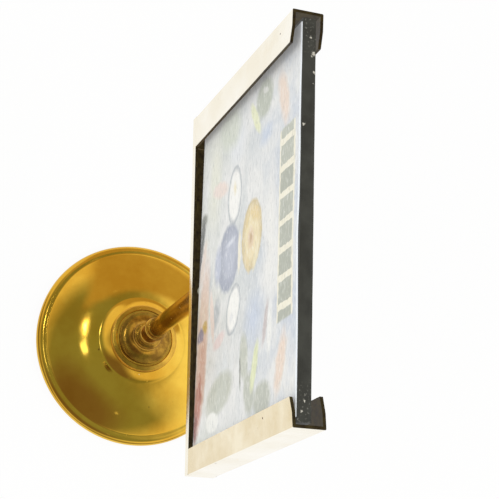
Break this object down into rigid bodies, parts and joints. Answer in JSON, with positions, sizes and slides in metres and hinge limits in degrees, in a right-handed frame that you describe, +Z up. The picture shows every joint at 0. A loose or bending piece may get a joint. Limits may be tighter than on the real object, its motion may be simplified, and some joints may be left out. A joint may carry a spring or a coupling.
{
  "type": "photo album stand",
  "caption": "Table stand for a photo: round domed brass foot, stem and two upright channels on a rail, with a lift-out backing board that carries the picture.",
  "frame": {"origin": "middle of the round foot, on the surface that it stands on", "axes": "+Z up along the stem, the picture faces -Y, +X to the right of a person who looks at the picture"},
  "size_m": [0.156, 0.0984, 0.2085],
  "materials": {
    "polished_brass": "polished, lightly tarnished, yellow",
    "frame_brass": "polished, pale",
    "cast_iron": "rough",
    "green_felt": "felt",
    "zinc_steel": "zinc plated",
    "black_board": "black painted fibreboard",
    "photo_paper": null
  },
  "bodies": {
    "foot": {"base_shell": "polished_brass", "base_weight": "cast_iron", "felt_pad": "green_felt", "boss_ring": "polished_brass", "boss_cap": "polished_brass"},
    "head": {"neck": "polished_brass", "stem_bead": "polished_brass", "stem_tube": "polished_brass", "top_ferrule": "polished_brass", "tie_rod": "zinc_steel", "rod_nut": "zinc_steel", "rod_washer": "zinc_steel", "rail_screw": "zinc_steel", "bottom_rail": "frame_brass", "left_channel": "frame_brass", "right_channel": "frame_brass", "left_rivet": "frame_brass", "right_rivet": "frame_brass"},
    "panel": {"backing_board": "black_board", "photo_print": "photo_paper"}
  },
  "joints": [
    {"name": "head_swivel", "type": "hinge", "parent": "foot", "child": "head", "pos_m": [0, 0, 0.0214], "axis": [0, 0, 1], "continuous": true},
    {"name": "panel_lift", "type": "slide", "parent": "head", "child": "panel", "axis": [0, 0, 1], "range_m": [0, 0.107]}
  ]
}
